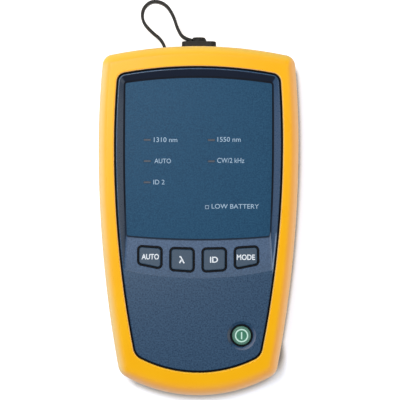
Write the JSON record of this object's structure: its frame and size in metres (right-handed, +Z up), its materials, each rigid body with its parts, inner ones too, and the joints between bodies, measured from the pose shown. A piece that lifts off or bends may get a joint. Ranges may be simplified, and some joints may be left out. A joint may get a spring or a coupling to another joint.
{
  "type": "optical light source",
  "caption": "Handheld two-wavelength fibre test source: rubber-booted case with a sunk label, sprung keys, a power button, a capped fibre port on its end and a rear battery door.",
  "frame": {"origin": "middle of the boot's footprint, on the surface it lies on", "axes": "+X across to the power button's side, +Y along towards the fibre port, +Z up out of the face"},
  "size_m": [0.0934, 0.1866, 0.038],
  "materials": {
    "boot_rubber": "satin moulded rubber",
    "black_rubber": "matt rubber",
    "case_plastic": "fine textured",
    "label_film": "velvet film",
    "key_plastic": "satin",
    "green_plastic": "semi gloss",
    "clear_plastic": "clear",
    "board_laminate": "solder mask",
    "steel": "plated",
    "port_plastic": "moulded",
    "white_ceramic": "polished ceramic",
    "module_plastic": "moulded",
    "fibre_buffer": "extruded",
    "cell_metal": "sleeved"
  },
  "bodies": {
    "case": {"front_case": "case_plastic", "rear_case": "case_plastic", "face_label": "label_film", "light_guides": "clear_plastic", "indicator_leds": "board_laminate", "main_board": "board_laminate", "key_switches": "steel", "board_screws": "steel", "case_screws": "steel", "bridge_contact": "steel", "terminal_contacts": "steel", "output_adapter": "port_plastic", "ferrule_sleeve": "white_ceramic", "laser_module_left": "steel", "laser_module_right": "steel", "wavelength_coupler": "module_plastic", "laser_lead_left": "fibre_buffer", "laser_lead_right": "fibre_buffer", "output_lead": "fibre_buffer", "battery_cell_left": "cell_metal", "battery_cell_right": "cell_metal", "rubber_boot": "boot_rubber", "cap_strap": "black_rubber", "keypad_mat": "black_rubber"},
    "auto_key": {"key_auto": "key_plastic"},
    "wavelength_key": {"key_wavelength": "key_plastic"},
    "id_key": {"key_id": "key_plastic"},
    "mode_key": {"key_mode": "key_plastic"},
    "power_key": {"power_button": "green_plastic"},
    "cap": {"dust_cap": "black_rubber"},
    "door": {"battery_door": "case_plastic"}
  },
  "joints": [
    {"name": "auto_press", "type": "slide", "parent": "case", "child": "auto_key", "axis": [0, 0, -1], "range_m": [0, 0.0008], "stiffness_N_per_m": 1500, "springref_m": -0.0003},
    {"name": "wavelength_press", "type": "slide", "parent": "case", "child": "wavelength_key", "axis": [0, 0, -1], "range_m": [0, 0.0008], "stiffness_N_per_m": 1500, "springref_m": -0.0003},
    {"name": "id_press", "type": "slide", "parent": "case", "child": "id_key", "axis": [0, 0, -1], "range_m": [0, 0.0008], "stiffness_N_per_m": 1500, "springref_m": -0.0003},
    {"name": "mode_press", "type": "slide", "parent": "case", "child": "mode_key", "axis": [0, 0, -1], "range_m": [0, 0.0008], "stiffness_N_per_m": 1500, "springref_m": -0.0003},
    {"name": "power_press", "type": "slide", "parent": "case", "child": "power_key", "axis": [0, 0, -1], "range_m": [0, 0.0008], "stiffness_N_per_m": 1500, "springref_m": -0.0003},
    {"name": "dust_cap_pull", "type": "slide", "parent": "case", "child": "cap", "axis": [0, 1, 0], "range_m": [0, 0.03], "deforming": ["cap_strap"]},
    {"name": "battery_door_swing", "type": "hinge", "parent": "case", "child": "door", "pos_m": [0, -0.059, 0.00365], "axis": [-1, 0, 0], "range_deg": [0, 80]}
  ]
}
